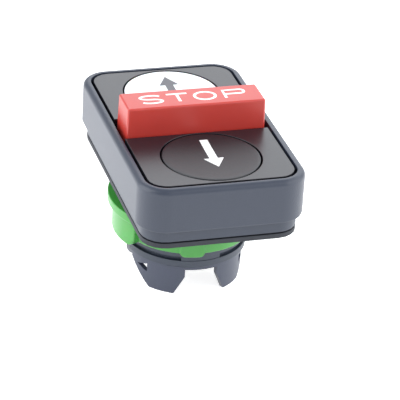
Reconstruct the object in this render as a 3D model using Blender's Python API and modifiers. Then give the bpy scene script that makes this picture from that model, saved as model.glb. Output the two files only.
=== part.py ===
"""Double push button head for a round hole in a control panel.

Two flush round buttons and one projecting stop bar share a rectangular body. Each has its own
carrier, rod, return spring and foot, and the three rods run side by side down one barrel, to the
contact blocks that a panel builder clips on behind the panel. A lock ring turns round the barrel.

Metres, +Z towards the operator. The origin is the middle of the panel hole, on the panel's face.
The two flush buttons are alike, and the upper one is the lower one turned half round about +Z.
"""

import math

import bmesh
import bpy

# Clearances
SEAT_GAP = 0.0003
RUNNING_GAP = 0.0003
TRAVEL = 0.0035

# Smoothness of round and rounded shapes
ROUND_STEPS = 48
SMALL_ROUND_STEPS = 20
CORNER_STEPS = 5
EDGE_STEPS = 3
TAB_CORNER_STEPS = 4
DISH_STEPS = 4
BEND_STEP = 2 * math.pi / ROUND_STEPS

# Panel gasket
GASKET_THICKNESS = 0.0009
GASKET_HOLE_GAP = 0.0004

# Base housing: a floor and low walls, with the barrel below
TIER_INSET = 0.0010
TIER_HEIGHT = 0.0019
FLOOR_THICKNESS = 0.0010
HOUSING_WALL = 0.0014
WALL_ABOVE_CARRIERS = 0.0001
RAIL_WIDTH = 0.0024
RAIL_DEPTH = 0.0012
RAIL_SHIFT = 0.0007
RAIL_SETBACK = 0.0001
SNAP_LUG_LENGTH = 0.0040
SNAP_LUG_REACH = 0.0006
SNAP_LUG_HEIGHT = 0.0010
SNAP_LUG_RISE = 0.0015

# Face plates, one on each side of the stop bar
PLATE_DEPTH = 0.0037
PLATE_BORDER_GAP = 0.0005
PLATE_THICKNESS = 0.0014
PLATE_SKIRT_WALL = 0.0011
COLLAR_WALL = 0.0010

# Bezel frame
BEZEL_WIDTH = 0.0300
BEZEL_LENGTH = 0.0485
BEZEL_WALL = 0.0014
BEZEL_CORNER = 0.0052
BEZEL_EDGE_ROUND = 0.0010
BEZEL_FOOT_CHAMFER = 0.0004

# Barrel, with two ribs low down
BARREL_RADIUS = 0.0104
BARREL_WALL = 0.0015
RIB_REACH = 0.0007
UPPER_RIB_TOP = -0.0087
UPPER_RIB_HEIGHT = 0.0008
RIB_GROOVE_HEIGHT = 0.0009
LOWER_RIB_HEIGHT = 0.0012
LEDGE_REACH = 0.0008
LEDGE_HEIGHT = 0.0007
PAD_HALF_ANGLE = math.radians(19)
SIDE_SLOT_WIDTH = 0.0037
SIDE_SLOT_HEIGHT = 0.0014
KEY_REACH = 0.0010
KEY_WIDTH = 0.0028
KEY_HEIGHT = 0.0014

# Rod guide and stem seal, one above the other inside the barrel
GUIDE_DEPTH = 0.0083
GUIDE_THICKNESS = 0.0013
SEAL_THICKNESS = 0.0008
SEAL_LIP_HEIGHT = 0.0004
SEAL_LIP_WALL = 0.0004
SEAL_LIP_STEPS = 16
SPRING_SEAT_THICKNESS = 0.0005
SPRING_SEAT_WALL = 0.0004
SPRING_SEAT_SPACING = 0.0008

# Lock ring
RING_HEIGHT = 0.0063
RING_WALL = 0.0013
RING_FLANGE_REACH = 0.0024
RING_FLANGE_THICKNESS = 0.0016
EAR_REACH = 0.0014
EAR_DROP = 0.0006
EAR_HALF_ANGLE = math.radians(31)
EAR_CORNER = 0.0020
TAB_START = math.radians(250)
TAB_END = math.radians(271)
TAB_DROP = 0.0006
TAB_WALL = 0.0009
TAB_CORNER = 0.0009

# Bayonet collar and its four hooks
COLLAR_STEP = 0.0002
COLLAR_BAND_HEIGHT = 0.0006
SPIGOT_WALL = 0.0006
HOOK_WALL = 0.0016
HOOK_LENGTH = 0.0050
HOOK_SHOULDER_FRONT = 0.0015
HOOK_SHOULDER_SIDE = 0.0007
HOOK_FRONT_ANGLE = math.radians(14.5)
HOOK_TIP_ANGLE = math.radians(25)
HOOK_HEEL_ANGLE = math.radians(52)
HOOK_SIDE_ANGLE = math.radians(79)
HOOK_TAPER_DROP = 0.0026
HOOK_TAPER = 0.42
HOOK_HEEL_RISE = 0.0001
WINDOW_NEAR_ANGLE = math.radians(55)
WINDOW_FAR_ANGLE = math.radians(69)
WINDOW_TOP_DROP = 0.0004
WINDOW_POINT_DROP = 0.0012
WINDOW_BOTTOM_DROP = 0.0020

# Flush buttons
BUTTON_WEB = 0.0002
BUTTON_BORDER = 0.0004
CAP_DISH = 0.0011
CAP_RIM = 0.0004
CAP_WALL = 0.0008
CAP_SKIRT_RISE = 0.0007
CAP_SKIN = 0.0011
PEG_RADIUS = 0.0013
BOSS_WALL = 0.0010

# Carriers, rods and feet
CARRIER_THICKNESS = 0.0015
CARRIER_DISC_INSET = 0.00125
ARM_OFFSET = 0.0002
LOW_ARM_RISE = 0.0017
RISER_THICKNESS = 0.0012
FOOT_SIDE_GAP = 0.0004
FOOT_SPACING = 0.0017
FOOT_LENGTH = 0.0044
FOOT_SOLE = 0.0017
FOOT_CHAMFER = 0.0005

# Return springs
WIRE_RADIUS = 0.00025
SPRING_TURNS = 5
POINTS_PER_TURN = 8

# Stop bar
BAR_BORDER_GAP = 0.0009
BAR_TOP_DEPTH = 0.0066
BAR_FOOT_DEPTH = 0.0072
BAR_SIDE_GAP = 0.00025
BAR_PROJECTION = 0.0053
BAR_END_TAPER = 0.0001
BAR_EDGE_ROUND = 0.0003
BAR_WALL = 0.0015
BAR_END_WALL = 0.0018
BEAM_THICKNESS = 0.0013
BEAM_END_INSET = 0.0005
TONGUE_LENGTH = 0.0066

# Heights that follow, from the panel upwards
TIER_BOTTOM = GASKET_THICKNESS + SEAT_GAP
TIER_TOP = TIER_BOTTOM + TIER_HEIGHT
FLOOR_TOP = TIER_BOTTOM + FLOOR_THICKNESS
CARRIER_BOTTOM = FLOOR_TOP + RUNNING_GAP + TRAVEL
CARRIER_TOP = CARRIER_BOTTOM + CARRIER_THICKNESS
WALL_TOP = CARRIER_TOP + WALL_ABOVE_CARRIERS
BEZEL_BOTTOM = TIER_TOP + SEAT_GAP
SNAP_LUG_BOTTOM = TIER_TOP + SNAP_LUG_RISE
PLATE_BOTTOM = WALL_TOP + SEAT_GAP
FACE_TOP = PLATE_BOTTOM + PLATE_DEPTH
CAP_SKIRT_BOTTOM = CARRIER_TOP + CAP_SKIRT_RISE
CAP_UNDERSIDE = FACE_TOP - CAP_DISH - CAP_SKIN
LOW_ARM_TOP = FLOOR_TOP + LOW_ARM_RISE
LOW_ARM_BOTTOM = LOW_ARM_TOP - CARRIER_THICKNESS
BEAM_BOTTOM = LOW_ARM_TOP + RUNNING_GAP + TRAVEL
BEAM_TOP = BEAM_BOTTOM + BEAM_THICKNESS
BAR_BOTTOM = BEAM_TOP + SEAT_GAP
BAR_TOP = FACE_TOP + BAR_PROJECTION

# Heights that follow, from the panel downwards
UPPER_RIB_BOTTOM = UPPER_RIB_TOP - UPPER_RIB_HEIGHT
LOWER_RIB_TOP = UPPER_RIB_BOTTOM - RIB_GROOVE_HEIGHT
BARREL_BOTTOM = LOWER_RIB_TOP - LOWER_RIB_HEIGHT
GUIDE_BOTTOM = -GUIDE_DEPTH
GUIDE_TOP = GUIDE_BOTTOM + GUIDE_THICKNESS
LEDGE_TOP = GUIDE_BOTTOM - SEAT_GAP
LEDGE_BOTTOM = LEDGE_TOP - LEDGE_HEIGHT
SEAL_BOTTOM = GUIDE_TOP + SEAT_GAP
SEAL_TOP = SEAL_BOTTOM + SEAL_THICKNESS
SPRING_SEAT_BOTTOM = SEAL_TOP + SEAT_GAP
SPRING_BOTTOM = SPRING_SEAT_BOTTOM + SPRING_SEAT_THICKNESS + SEAT_GAP
SPRING_TOP = LOW_ARM_BOTTOM - SEAT_GAP
FOOT_TOP = GUIDE_BOTTOM - SEAT_GAP
FOOT_BOTTOM = FOOT_TOP - FOOT_LENGTH
ROD_BOTTOM = FOOT_BOTTOM + FOOT_SOLE + SEAT_GAP
RING_BOTTOM = UPPER_RIB_TOP + SEAT_GAP
RING_TOP = RING_BOTTOM + RING_HEIGHT
COLLAR_TOP = BARREL_BOTTOM - SEAT_GAP
BAND_BOTTOM = COLLAR_TOP - COLLAR_BAND_HEIGHT
SPIGOT_TOP = LEDGE_BOTTOM - SEAT_GAP

# Plan sizes that follow
OPENING_WIDTH = BEZEL_WIDTH - 2 * BEZEL_WALL
OPENING_LENGTH = BEZEL_LENGTH - 2 * BEZEL_WALL
OPENING_CORNER = BEZEL_CORNER - BEZEL_WALL
PLATE_WIDTH = OPENING_WIDTH - 2 * PLATE_BORDER_GAP
PLATE_LENGTH = OPENING_LENGTH - 2 * PLATE_BORDER_GAP
PLATE_CORNER = OPENING_CORNER - PLATE_BORDER_GAP
WALL_WIDTH = OPENING_WIDTH - 2 * SEAT_GAP
WALL_LENGTH = OPENING_LENGTH - 2 * SEAT_GAP
WALL_CORNER = OPENING_CORNER - SEAT_GAP
TIER_WIDTH = BEZEL_WIDTH - 2 * TIER_INSET
TIER_LENGTH = BEZEL_LENGTH - 2 * TIER_INSET
TIER_CORNER = BEZEL_CORNER - TIER_INSET
BAR_LENGTH = OPENING_WIDTH - 2 * BAR_BORDER_GAP
CHANNEL_HALF = BAR_FOOT_DEPTH / 2 + BAR_SIDE_GAP
BEAM_DEPTH = BAR_FOOT_DEPTH - 2 * (RUNNING_GAP - BAR_SIDE_GAP)
BEAM_LENGTH = BAR_LENGTH - 2 * BEAM_END_INSET
BUTTON_HOLE = (PLATE_LENGTH / 2 - BUTTON_BORDER - CHANNEL_HALF - BUTTON_WEB) / 2
BUTTON_Y = CHANNEL_HALF + BUTTON_WEB + BUTTON_HOLE
CAP_RADIUS = BUTTON_HOLE - RUNNING_GAP
CARRIER_DISC_RADIUS = CAP_RADIUS - CARRIER_DISC_INSET
BARREL_BORE = BARREL_RADIUS - BARREL_WALL
BARREL_MIDDLE = BARREL_RADIUS - BARREL_WALL / 2
RIB_RADIUS = BARREL_RADIUS + RIB_REACH
GUIDE_RADIUS = BARREL_BORE - RUNNING_GAP
LEDGE_RADIUS = BARREL_BORE - LEDGE_REACH
FOOT_RADIUS = (LEDGE_RADIUS - FOOT_SIDE_GAP - FOOT_SPACING) / 3
ROD_X = 2 * FOOT_RADIUS + FOOT_SPACING
SPRING_SEAT_RADIUS = (ROD_X - SPRING_SEAT_SPACING) / 2
SPRING_SEAT_BORE = SPRING_SEAT_RADIUS - SPRING_SEAT_WALL
SPRING_RADIUS = SPRING_SEAT_RADIUS - SEAT_GAP - WIRE_RADIUS
ROD_HOLE = SPRING_SEAT_BORE - SEAT_GAP / 2 - SEAL_LIP_WALL
ROD_RADIUS = ROD_HOLE - RUNNING_GAP
HUB_RADIUS = SPRING_RADIUS + SEAT_GAP
ARM_WIDTH = 2 * ROD_RADIUS
ARM_X = ROD_X - ARM_OFFSET
RAIL_CENTRE_X = (ARM_X + ARM_WIDTH / 2 + WALL_WIDTH / 2 - HOUSING_WALL) / 2 + RAIL_SHIFT
RISER_NEAR = CHANNEL_HALF + SEAT_GAP / 2
RING_BORE = BARREL_RADIUS + RUNNING_GAP
RING_HUB_RADIUS = RING_BORE + RING_WALL
RING_FLANGE_RADIUS = RING_HUB_RADIUS + RING_FLANGE_REACH
EAR_RADIUS = RING_HUB_RADIUS + EAR_REACH
TAB_INNER = RIB_RADIUS + RUNNING_GAP
TAB_RADIUS = TAB_INNER + TAB_WALL
COLLAR_RADIUS = BARREL_RADIUS + COLLAR_STEP
SPIGOT_RADIUS = BARREL_BORE - SEAT_GAP
FRONT = math.radians(270)

# How far cutters run past what they cut, and how deep joined shapes sink into each other
CUT_MARGIN = 0.0010
OVERLAP = 0.0002


def clear_scene():
    """Remove every object that the file already holds."""
    for thing in list(bpy.data.objects):
        bpy.data.objects.remove(thing, do_unlink=True)


def make_collection(name):
    """Make a collection in the scene."""
    group = bpy.data.collections.new(name)
    bpy.context.scene.collection.children.link(group)
    return group


clear_scene()
PARTS = make_collection("double_push_button")
CUTTERS = make_collection("cutters")


def linear(level):
    """Turn one sRGB channel, 0 to 255, into linear light."""
    share = level / 255
    if share <= 0.04045:
        return share / 12.92
    return ((share + 0.055) / 1.055) ** 2.4


def make_material(name, red, green, blue, roughness, metallic=0.0):
    """Make a Principled material from an sRGB colour."""
    material = bpy.data.materials.new(name)
    material.use_nodes = True
    shader = material.node_tree.nodes["Principled BSDF"]
    shader.inputs["Base Color"].default_value = (linear(red), linear(green), linear(blue), 1.0)
    shader.inputs["Roughness"].default_value = roughness
    shader.inputs["Metallic"].default_value = metallic
    return material


def place(mesh, name, material=None, parent=None):
    """Put a mesh in the scene: as a part if it has a material, and as a cutter if it has none."""
    thing = bpy.data.objects.new(name, mesh)
    if material is None:
        CUTTERS.objects.link(thing)
        thing.hide_render = True
        thing.display_type = "WIRE"
    else:
        PARTS.objects.link(thing)
        mesh.materials.append(material)
    thing.parent = parent
    return thing


def mesh_from(form, name):
    """Turn a finished bmesh into a mesh and free it."""
    bmesh.ops.recalc_face_normals(form, faces=form.faces)
    mesh = bpy.data.meshes.new(name)
    form.to_mesh(mesh)
    form.free()
    return mesh


def shade_round(thing, angle=math.radians(32)):
    """Shade a piece smooth, with its corners kept sharp."""
    thing.data.shade_smooth()
    thing.data.set_sharp_from_angle(angle=angle)


def combine(thing, other, operation):
    """Cut another shape from a piece, join it on, or keep what both hold."""
    step = thing.modifiers.new(operation.lower() + "_" + other.name, "BOOLEAN")
    step.operation = operation
    step.object = other
    step.solver = "EXACT"


def cut(thing, *cutters):
    """Cut each shape from a piece."""
    for cutter in cutters:
        combine(thing, cutter, "DIFFERENCE")


def join(thing, *additions):
    """Join each shape to a piece."""
    for addition in additions:
        combine(thing, addition, "UNION")


def slab_form(size_x, size_y, low, high, corner=0.0, centre=(0.0, 0.0)):
    """Block between two heights, with its upright edges rounded."""
    form = bmesh.new()
    bmesh.ops.create_cube(form, size=1.0)
    bmesh.ops.scale(form, vec=(size_x, size_y, high - low), verts=form.verts)
    middle = (centre[0], centre[1], (low + high) / 2)
    bmesh.ops.translate(form, vec=middle, verts=form.verts)
    if corner > 0:
        upright = [edge for edge in form.edges if edge.verts[0].co.xy == edge.verts[1].co.xy]
        bmesh.ops.bevel(form, geom=upright, offset=corner, segments=CORNER_STEPS, profile=0.5,
                        affect="EDGES")
    return form


def slab(name, size_x, size_y, low, high, corner=0.0, centre=(0.0, 0.0), material=None, parent=None):
    """Block between two heights, as an object."""
    form = slab_form(size_x, size_y, low, high, corner, centre)
    return place(mesh_from(form, name), name, material, parent)


def level_edges(form, height):
    """Edges that lie in one level plane."""
    near = 1e-6
    return [edge for edge in form.edges if all(abs(end.co.z - height) < near for end in edge.verts)]


def turned(name, outline, steps=ROUND_STEPS, centre=(0.0, 0.0), material=None, parent=None):
    """Shape turned about an upright axis. The outline is (radius, height) points, down its outer
    side first. One that touches the axis at both ends is solid, and any other is a closed ring.
    A cutter or addition stands half a facet round, so that no two facet edges lie on each other."""
    form = bmesh.new()
    points = [form.verts.new((radius, 0.0, height)) for radius, height in outline]
    for first, second in zip(points, points[1:]):
        form.edges.new((first, second))
    if outline[0][0] > 0:
        form.edges.new((points[-1], points[0]))
    mesh = bpy.data.meshes.new(name)
    form.to_mesh(mesh)
    form.free()
    thing = place(mesh, name, material, parent)
    thing.location = (centre[0], centre[1], 0.0)
    if material is None:
        thing.rotation_euler.z = math.pi / steps
    turn = thing.modifiers.new("turn", "SCREW")
    turn.axis = "Z"
    turn.steps = steps
    turn.render_steps = steps
    turn.use_merge_vertices = True
    turn.merge_threshold = 0.00001
    turn.use_smooth_shade = False
    return thing


def disc(name, radius, low, high, steps=ROUND_STEPS, centre=(0.0, 0.0), material=None, parent=None):
    """Upright cylinder between two heights."""
    outline = [(0.0, high), (radius, high), (radius, low), (0.0, low)]
    return turned(name, outline, steps, centre, material, parent)


def split(form, point, normal):
    """Split every face that a plane crosses."""
    everything = form.verts[:] + form.edges[:] + form.faces[:]
    bmesh.ops.bisect_plane(form, geom=everything, dist=1e-7, plane_co=point, plane_no=normal)


def wrapped(name, outline, inner, outer, taper_start=None, taper=0.0):
    """Plate wrapped round the Z axis. Its outline is (angle, height) points on the unrolled
    surface. Below taper_start both faces lean in by taper for each metre down."""
    form = bmesh.new()
    points = [form.verts.new((angle, 0.0, height)) for angle, height in outline]
    bmesh.ops.contextual_create(form, geom=points)
    pushed = bmesh.ops.extrude_face_region(form, geom=form.faces[:])
    for piece in pushed["geom"]:
        if isinstance(piece, bmesh.types.BMVert):
            piece.co.y = 1.0
    angles = [point[0] for point in outline]
    span = max(angles) - min(angles)
    steps = math.ceil(span / BEND_STEP)
    for count in range(1, steps):
        split(form, (min(angles) + span * count / steps, 0, 0), (1, 0, 0))
    if taper_start is not None:
        split(form, (0, 0, taper_start), (0, 0, 1))
    for point in form.verts:
        angle, side, height = point.co
        radius = outer if side > 0.5 else inner
        if taper_start is not None:
            radius -= taper * max(0.0, taper_start - height)
        point.co = (radius * math.cos(angle), radius * math.sin(angle), height)
    bmesh.ops.triangulate(form, faces=form.faces)
    return place(mesh_from(form, name), name)


def rounded_foot_outline(start, end, top, bottom, corner, radius):
    """Outline of a hanging plate between two angles, with its two lower corners rounded."""
    outline = [(start, top)]
    for count in range(TAB_CORNER_STEPS + 1):
        turn = math.pi / 2 * count / TAB_CORNER_STEPS
        outline.append((start + corner * (1 - math.cos(turn)) / radius,
                        bottom + corner * (1 - math.sin(turn))))
    for count in range(TAB_CORNER_STEPS + 1):
        turn = math.pi / 2 * (1 - count / TAB_CORNER_STEPS)
        outline.append((end - corner * (1 - math.cos(turn)) / radius,
                        bottom + corner * (1 - math.sin(turn))))
    outline.append((end, top))
    return outline


def empty(name, turn=0.0):
    """Empty that carries the pieces of one moving group."""
    holder = bpy.data.objects.new(name, None)
    PARTS.objects.link(holder)
    holder.rotation_euler = (0.0, 0.0, turn)
    return holder


DARK_GREY = make_material("dark grey polycarbonate", 80, 88, 100, 0.45)
FACE_BLACK = make_material("satin black polycarbonate", 58, 57, 62, 0.42)
HOUSING_BLACK = make_material("black polyamide", 52, 55, 62, 0.5)
HOOK_GREY = make_material("grey polyamide", 84, 88, 98, 0.45)
LOCK_GREEN = make_material("green polyamide", 92, 190, 78, 0.4)
SEAL_BLACK = make_material("black rubber", 32, 33, 36, 0.75)
CAP_WHITE = make_material("white polycarbonate", 238, 238, 240, 0.35)
CAP_BLACK = make_material("black polycarbonate cap", 46, 45, 48, 0.4)
STOP_RED = make_material("red polycarbonate", 205, 52, 42, 0.35)
NATURAL_WHITE = make_material("natural acetal", 226, 224, 214, 0.45)
SPRING_STEEL = make_material("spring steel", 178, 180, 184, 0.3, 1.0)


def snap_places():
    """Where the bezel snaps on: two places on each long side."""
    return [(side, along) for side in (-1, 1) for along in (-BUTTON_Y, BUTTON_Y)]


def build_bezel_frame():
    """Deep rounded frame that clips over the base housing."""
    form = slab_form(BEZEL_WIDTH, BEZEL_LENGTH, BEZEL_BOTTOM, FACE_TOP, BEZEL_CORNER)
    bmesh.ops.bevel(form, geom=level_edges(form, FACE_TOP), offset=BEZEL_EDGE_ROUND,
                    segments=EDGE_STEPS, profile=0.5, affect="EDGES")
    bmesh.ops.bevel(form, geom=level_edges(form, BEZEL_BOTTOM), offset=BEZEL_FOOT_CHAMFER,
                    segments=1, profile=0.5, affect="EDGES")
    bezel = place(mesh_from(form, "bezel_frame"), "bezel_frame", DARK_GREY)
    cut(bezel, slab("bezel_opening", OPENING_WIDTH, OPENING_LENGTH, BEZEL_BOTTOM - CUT_MARGIN,
                    FACE_TOP + CUT_MARGIN, OPENING_CORNER))
    pocket_width = 2 * (SNAP_LUG_REACH + SEAT_GAP)
    for count, (side, along) in enumerate(snap_places()):
        cut(bezel, slab(f"bezel_snap_pocket_{count}", pocket_width, SNAP_LUG_LENGTH + 2 * SEAT_GAP,
                        SNAP_LUG_BOTTOM - SEAT_GAP, SNAP_LUG_BOTTOM + SNAP_LUG_HEIGHT + SEAT_GAP,
                        centre=(side * WALL_WIDTH / 2, along)))
    shade_round(bezel)


def build_face_plate(name, side):
    """Half of the face: a skin with a hanging skirt and a collar that guides the button."""
    plate = slab(name, PLATE_WIDTH, PLATE_LENGTH, PLATE_BOTTOM, FACE_TOP, PLATE_CORNER,
                 material=FACE_BLACK)
    length = PLATE_LENGTH + 2 * CUT_MARGIN
    centre_y = side * (CHANNEL_HALF - length / 2)
    cut(plate, slab(name + "_far_half", PLATE_WIDTH + 2 * CUT_MARGIN, length,
                    PLATE_BOTTOM - CUT_MARGIN, FACE_TOP + CUT_MARGIN, centre=(0.0, centre_y)))
    pocket_low = CHANNEL_HALF + PLATE_SKIRT_WALL
    pocket_high = PLATE_LENGTH / 2 - PLATE_SKIRT_WALL
    pocket = slab(name + "_pocket", PLATE_WIDTH - 2 * PLATE_SKIRT_WALL, pocket_high - pocket_low,
                  PLATE_BOTTOM - CUT_MARGIN, FACE_TOP - PLATE_THICKNESS,
                  PLATE_CORNER - PLATE_SKIRT_WALL, (0.0, side * (pocket_low + pocket_high) / 2))
    where = (0.0, side * BUTTON_Y)
    cut(pocket, disc(name + "_collar", BUTTON_HOLE + COLLAR_WALL, PLATE_BOTTOM - 2 * CUT_MARGIN,
                     FACE_TOP, centre=where))
    cut(plate, pocket, disc(name + "_button_hole", BUTTON_HOLE, PLATE_BOTTOM - CUT_MARGIN,
                            FACE_TOP + CUT_MARGIN, centre=where))
    shade_round(plate)


def barrel_outline():
    """Barrel wall with its ledge and its two ribs, down the outer side and up the bore."""
    top = (TIER_BOTTOM + FLOOR_TOP) / 2
    return [(BARREL_RADIUS, top), (BARREL_RADIUS, UPPER_RIB_TOP), (RIB_RADIUS, UPPER_RIB_TOP),
            (RIB_RADIUS, UPPER_RIB_BOTTOM), (BARREL_RADIUS, UPPER_RIB_BOTTOM),
            (BARREL_RADIUS, LOWER_RIB_TOP), (RIB_RADIUS, LOWER_RIB_TOP), (RIB_RADIUS, BARREL_BOTTOM),
            (BARREL_BORE, BARREL_BOTTOM), (BARREL_BORE, LEDGE_BOTTOM),
            (LEDGE_RADIUS, LEDGE_BOTTOM), (LEDGE_RADIUS, LEDGE_TOP),
            (BARREL_BORE, LEDGE_TOP), (BARREL_BORE, top)]


def side_slot(name, top, bottom):
    """Cutter for the two slots in the barrel's sides, where the contact block holder slides on."""
    return slab(name, 2 * RIB_RADIUS + CUT_MARGIN, SIDE_SLOT_WIDTH, bottom, top)


def build_base_housing():
    """Floor, low walls, guide rails and barrel in one moulding."""
    housing = slab("base_housing", TIER_WIDTH, TIER_LENGTH, TIER_BOTTOM, TIER_TOP, TIER_CORNER,
                   material=HOUSING_BLACK)
    join(housing, slab("housing_wall", WALL_WIDTH, WALL_LENGTH, TIER_TOP - OVERLAP, WALL_TOP,
                       WALL_CORNER))
    cut(housing, slab("housing_cavity", WALL_WIDTH - 2 * HOUSING_WALL, WALL_LENGTH - 2 * HOUSING_WALL,
                      FLOOR_TOP, WALL_TOP + CUT_MARGIN, WALL_CORNER - HOUSING_WALL))
    for side in (-1, 1):
        cut(housing, disc(f"housing_button_well_{side + 1}", BUTTON_HOLE, FLOOR_TOP,
                          WALL_TOP + 2 * CUT_MARGIN, centre=(0.0, side * BUTTON_Y)))
    cut(housing, slab("housing_bar_channel", WALL_WIDTH + CUT_MARGIN, 2 * CHANNEL_HALF,
                      LOW_ARM_TOP, WALL_TOP + CUT_MARGIN))
    cut(housing, disc("housing_floor_hole", BARREL_MIDDLE, TIER_BOTTOM - CUT_MARGIN,
                      FLOOR_TOP + CUT_MARGIN, SMALL_ROUND_STEPS))
    join(housing, turned("housing_barrel", barrel_outline()))
    pad = [(FRONT - PAD_HALF_ANGLE, UPPER_RIB_TOP - OVERLAP),
           (FRONT - PAD_HALF_ANGLE, BARREL_BOTTOM + OVERLAP),
           (FRONT + PAD_HALF_ANGLE, BARREL_BOTTOM + OVERLAP),
           (FRONT + PAD_HALF_ANGLE, UPPER_RIB_TOP - OVERLAP)]
    join(housing, wrapped("housing_front_pad", pad, BARREL_MIDDLE, RIB_RADIUS - OVERLAP / 2))
    cut(housing, side_slot("housing_side_slot", BARREL_BOTTOM + SIDE_SLOT_HEIGHT,
                           BARREL_BOTTOM - CUT_MARGIN))
    key_depth = BARREL_RADIUS - BARREL_MIDDLE + KEY_REACH
    join(housing, slab("housing_key", KEY_WIDTH, key_depth, -SEAT_GAP - KEY_HEIGHT, -SEAT_GAP,
                       centre=(0.0, BARREL_MIDDLE + key_depth / 2)))
    lug_width = SNAP_LUG_REACH + HOUSING_WALL / 2
    for count, (side, along) in enumerate(snap_places()):
        lug_x = side * (WALL_WIDTH / 2 + SNAP_LUG_REACH - lug_width / 2)
        join(housing, slab(f"housing_snap_lug_{count}", lug_width, SNAP_LUG_LENGTH,
                           SNAP_LUG_BOTTOM, SNAP_LUG_BOTTOM + SNAP_LUG_HEIGHT,
                           centre=(lug_x, along)))
    for side_x in (-1, 1):
        for side_y in (-1, 1):
            where = (side_x * RAIL_CENTRE_X, side_y * (CHANNEL_HALF + RAIL_SETBACK + RAIL_DEPTH / 2))
            join(housing, slab(f"housing_rail_{side_x + 1}{side_y + 1}", RAIL_WIDTH, RAIL_DEPTH,
                               FLOOR_TOP - OVERLAP, CARRIER_TOP, centre=where))
    shade_round(housing)


def build_panel_gasket():
    """Flat rubber gasket between the housing and the panel."""
    gasket = slab("panel_gasket", TIER_WIDTH, TIER_LENGTH, 0.0, GASKET_THICKNESS, TIER_CORNER,
                  material=SEAL_BLACK)
    cut(gasket, disc("gasket_hole", BARREL_RADIUS + GASKET_HOLE_GAP, -CUT_MARGIN,
                     GASKET_THICKNESS + CUT_MARGIN))
    shade_round(gasket)


def build_lock_ring():
    """Ring with a flange, two ears and a tab that turns round the barrel to lock the head."""
    flange_bottom = RING_TOP - RING_FLANGE_THICKNESS
    outline = [(RING_FLANGE_RADIUS, RING_TOP), (RING_FLANGE_RADIUS, flange_bottom),
               (RING_HUB_RADIUS, flange_bottom), (RING_HUB_RADIUS, RING_BOTTOM),
               (RING_BORE, RING_BOTTOM), (RING_BORE, RING_TOP)]
    ring = turned("lock_ring", outline, material=LOCK_GREEN)
    inside_flange = flange_bottom + RING_FLANGE_THICKNESS / 2
    for count, middle in enumerate((0.0, math.pi)):
        ear = rounded_foot_outline(middle - EAR_HALF_ANGLE, middle + EAR_HALF_ANGLE, inside_flange,
                                   RING_BOTTOM - EAR_DROP, EAR_CORNER, EAR_RADIUS)
        join(ring, wrapped(f"lock_ring_ear_{count}", ear, TAB_INNER, EAR_RADIUS))
    tab = rounded_foot_outline(TAB_START, TAB_END, inside_flange, RING_BOTTOM - TAB_DROP,
                               TAB_CORNER, TAB_RADIUS)
    join(ring, wrapped("lock_ring_tab", tab, TAB_INNER, TAB_RADIUS))
    shade_round(ring)


def hook_outline(across, along):
    """Outline of one bayonet hook. The four are mirrored left to right and front to back."""
    top = COLLAR_TOP - COLLAR_BAND_HEIGHT / 2
    tip = BAND_BOTTOM - HOOK_LENGTH
    points = [(HOOK_FRONT_ANGLE, top), (HOOK_FRONT_ANGLE, BAND_BOTTOM - HOOK_SHOULDER_FRONT),
              (HOOK_TIP_ANGLE, tip), (HOOK_HEEL_ANGLE, tip + HOOK_HEEL_RISE),
              (HOOK_SIDE_ANGLE, BAND_BOTTOM - HOOK_SHOULDER_SIDE), (HOOK_SIDE_ANGLE, top)]
    return [(along * FRONT + across * angle, height) for angle, height in points]


def window_outline(across, along):
    """Outline of the three-cornered window in a hook."""
    points = [(WINDOW_NEAR_ANGLE, BAND_BOTTOM - WINDOW_TOP_DROP),
              (WINDOW_NEAR_ANGLE, BAND_BOTTOM - WINDOW_BOTTOM_DROP),
              (WINDOW_FAR_ANGLE, BAND_BOTTOM - WINDOW_POINT_DROP)]
    return [(along * FRONT + across * angle, height) for angle, height in points]


def build_bayonet_collar():
    """Collar that plugs into the barrel and carries the hooks for the contact block holder."""
    outline = [(COLLAR_RADIUS, COLLAR_TOP), (COLLAR_RADIUS, BAND_BOTTOM),
               (SPIGOT_RADIUS - SPIGOT_WALL, BAND_BOTTOM),
               (SPIGOT_RADIUS - SPIGOT_WALL, SPIGOT_TOP),
               (SPIGOT_RADIUS, SPIGOT_TOP), (SPIGOT_RADIUS, COLLAR_TOP)]
    collar = turned("bayonet_collar", outline, material=HOOK_GREY)
    outer = COLLAR_RADIUS - OVERLAP / 2
    for count, (across, along) in enumerate(((1, 1), (-1, 1), (1, -1), (-1, -1))):
        hook = wrapped(f"collar_hook_{count}", hook_outline(across, along), outer - HOOK_WALL,
                       outer, BAND_BOTTOM - HOOK_TAPER_DROP, HOOK_TAPER)
        cut(hook, wrapped(f"collar_window_{count}", window_outline(across, along),
                          outer - 2 * HOOK_WALL, outer + HOOK_WALL))
        join(collar, hook)
    slot_bottom = BAND_BOTTOM - CUT_MARGIN
    for side in (-1, 1):
        reach = RIB_RADIUS + CUT_MARGIN - SPIGOT_RADIUS
        middle = SPIGOT_RADIUS + reach / 2
        cut(collar, slab(f"collar_side_slot_{side + 1}", reach, SIDE_SLOT_WIDTH, slot_bottom,
                         COLLAR_TOP + CUT_MARGIN, centre=(side * middle, 0.0)))
    shade_round(collar)


def rod_places():
    """Where the three rods stand: lower button, stop bar and upper button."""
    return [-ROD_X, 0.0, ROD_X]


def build_rod_guide():
    """Disc on the barrel's ledge that guides the three rods."""
    guide = disc("rod_guide", GUIDE_RADIUS, GUIDE_BOTTOM, GUIDE_TOP, material=NATURAL_WHITE)
    for count, rod_x in enumerate(rod_places()):
        cut(guide, disc(f"guide_hole_{count}", ROD_HOLE, GUIDE_BOTTOM - CUT_MARGIN,
                        GUIDE_TOP + CUT_MARGIN, SMALL_ROUND_STEPS, (rod_x, 0.0)))
    shade_round(guide)


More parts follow.
